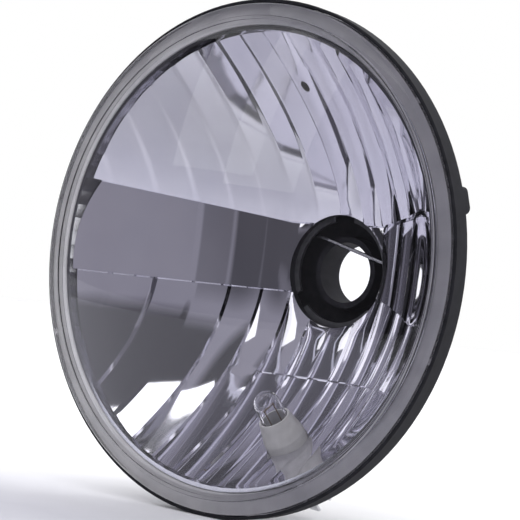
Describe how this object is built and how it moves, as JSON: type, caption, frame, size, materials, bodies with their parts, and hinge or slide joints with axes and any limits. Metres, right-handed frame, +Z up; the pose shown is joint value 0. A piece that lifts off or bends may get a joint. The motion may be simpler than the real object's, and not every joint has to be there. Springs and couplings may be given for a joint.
{
  "type": "round motorcycle headlight insert",
  "caption": "Round headlight insert with a clear glass lens, fluted reflector, bulb seat with wire clip, rubber boot and parking lamp.",
  "frame": {"origin": "centre of the flat rear seat of the mounting flange", "axes": "-Y is the way the light leaves, +Y the lamp's rear, +Z up"},
  "size_m": [0.1778, 0.095, 0.1778],
  "materials": {
    "ring_plastic": "black moulded plastic",
    "metallised_moulding": "metallised mirror inside, black moulding outside",
    "clear_glass": "clear pressed glass",
    "sealant": "grey butyl sealant",
    "dark_steel": "black zinc plate",
    "zinc_steel": "bright zinc plate",
    "spring_steel": "drawn spring wire",
    "boot_rubber": "matt moulded rubber",
    "holder_plastic": "grey moulded plastic",
    "gasket_rubber": "matt rubber",
    "bulb_glass": "clear blown glass",
    "brass": "plain brass",
    "filament_wire": "drawn wire",
    "cap_plastic": "black moulded plastic"
  },
  "bodies": {
    "lamp": {"reflector": "metallised_moulding", "rim_ring": "ring_plastic", "glass_lens": "clear_glass", "lens_sealant": "sealant", "bulb_seat": "dark_steel", "seat_screws": "zinc_steel", "clip_pivot": "zinc_steel", "clip_catch": "zinc_steel", "parking_holder": "holder_plastic", "holder_gasket": "gasket_rubber", "parking_bulb": "bulb_glass", "parking_bulb_base": "brass", "parking_filament": "filament_wire", "parking_terminals": "zinc_steel", "vent_cap": "cap_plastic"},
    "boot": {"rubber_boot": "boot_rubber"},
    "clip": {"wire_clip": "spring_steel"}
  },
  "joints": [
    {"name": "boot_pull", "type": "slide", "parent": "lamp", "child": "boot", "axis": [0, 1, 0], "range_m": [0, 0.1]},
    {"name": "clip_swing", "type": "hinge", "parent": "lamp", "child": "clip", "pos_m": [-0.026, 0.062, 0.009], "axis": [0, 0, 1], "range_deg": [0, 100]}
  ],
  "couplings": [
    {"joint": "clip_swing", "follows": "boot_pull", "rad_per_m": 17.45}
  ]
}
